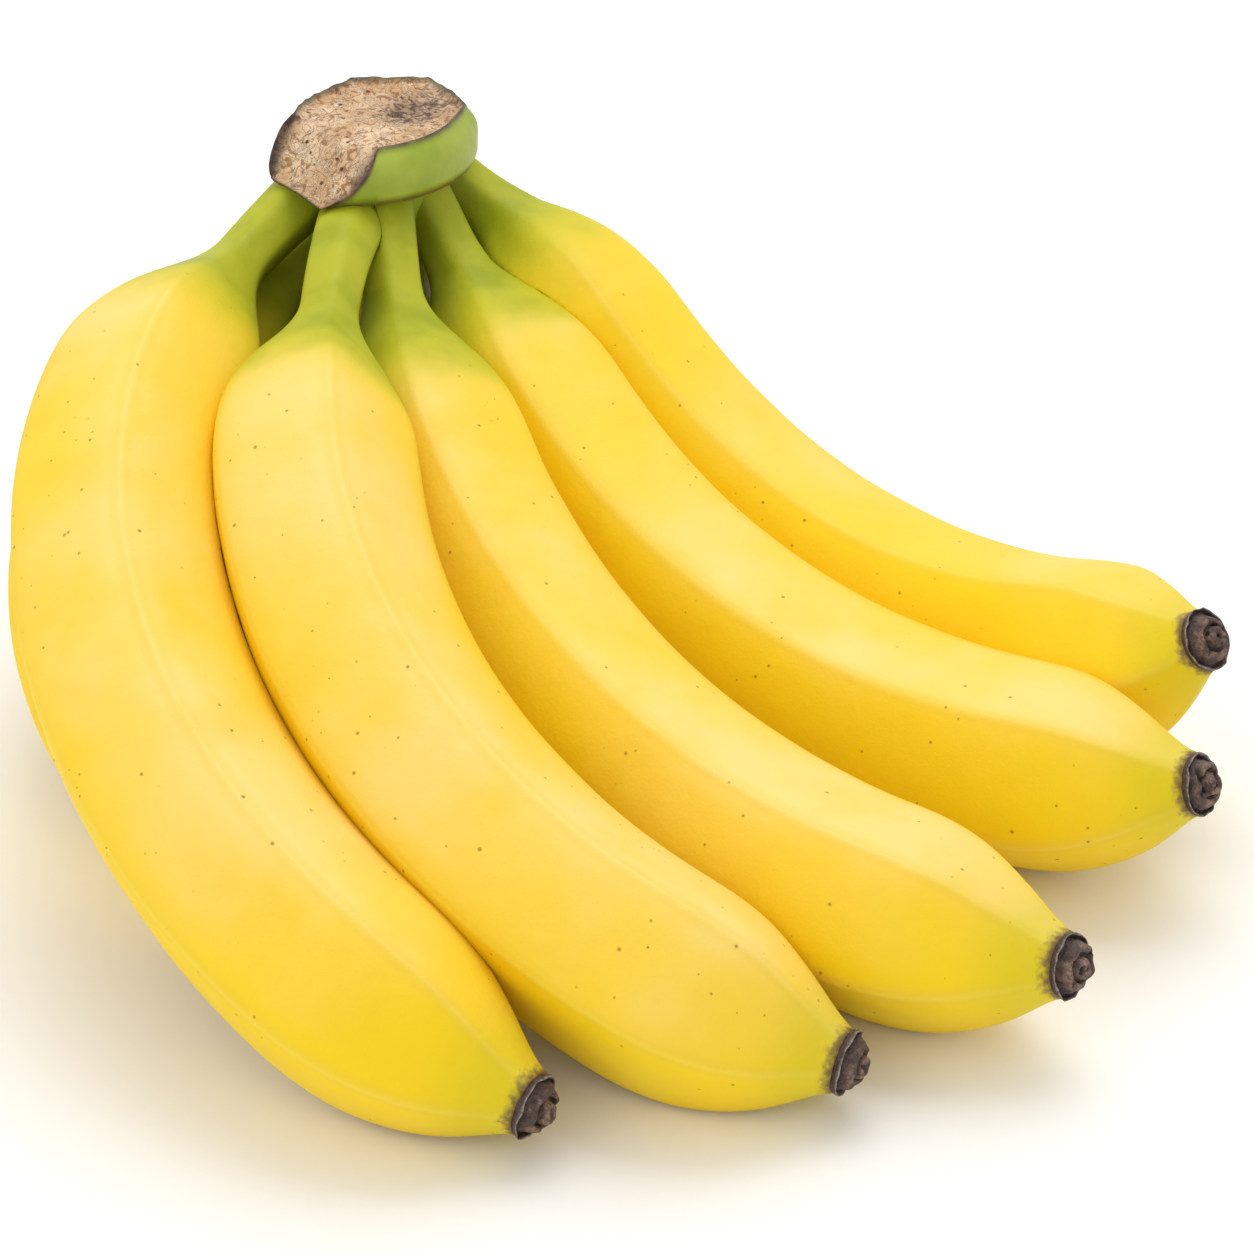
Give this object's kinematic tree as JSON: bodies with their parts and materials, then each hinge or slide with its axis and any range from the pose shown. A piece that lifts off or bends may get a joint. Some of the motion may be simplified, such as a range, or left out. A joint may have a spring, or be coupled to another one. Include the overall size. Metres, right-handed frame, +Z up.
{
  "type": "bunch of bananas",
  "caption": "Hand of ripe yellow bananas joined at a cut crown, lying on its bellies with the fingers fanned, green at the stalks and with dried dark blossom ends.",
  "frame": {"origin": "middle of the bounding box's bottom, on the surface that the bunch lies on", "axes": "+Z up from that surface, +X to the right and +Y to the back when the fan is seen from its front, with the crown at the back left"},
  "size_m": [0.2232, 0.225, 0.0962],
  "materials": {
    "skin": "satin",
    "crown": "matte",
    "husk": "matte"
  },
  "bodies": {
    "root": {"crown": "crown", "banana_1": "skin", "banana_2": "skin", "banana_3": "skin", "banana_4": "skin", "banana_5": "skin", "banana_6": "skin", "banana_7": "skin", "blossom_end_1": "husk", "blossom_end_2": "husk", "blossom_end_3": "husk", "blossom_end_4": "husk", "blossom_end_5": "husk", "blossom_end_6": "husk", "blossom_end_7": "husk"}
  },
  "joints": []
}
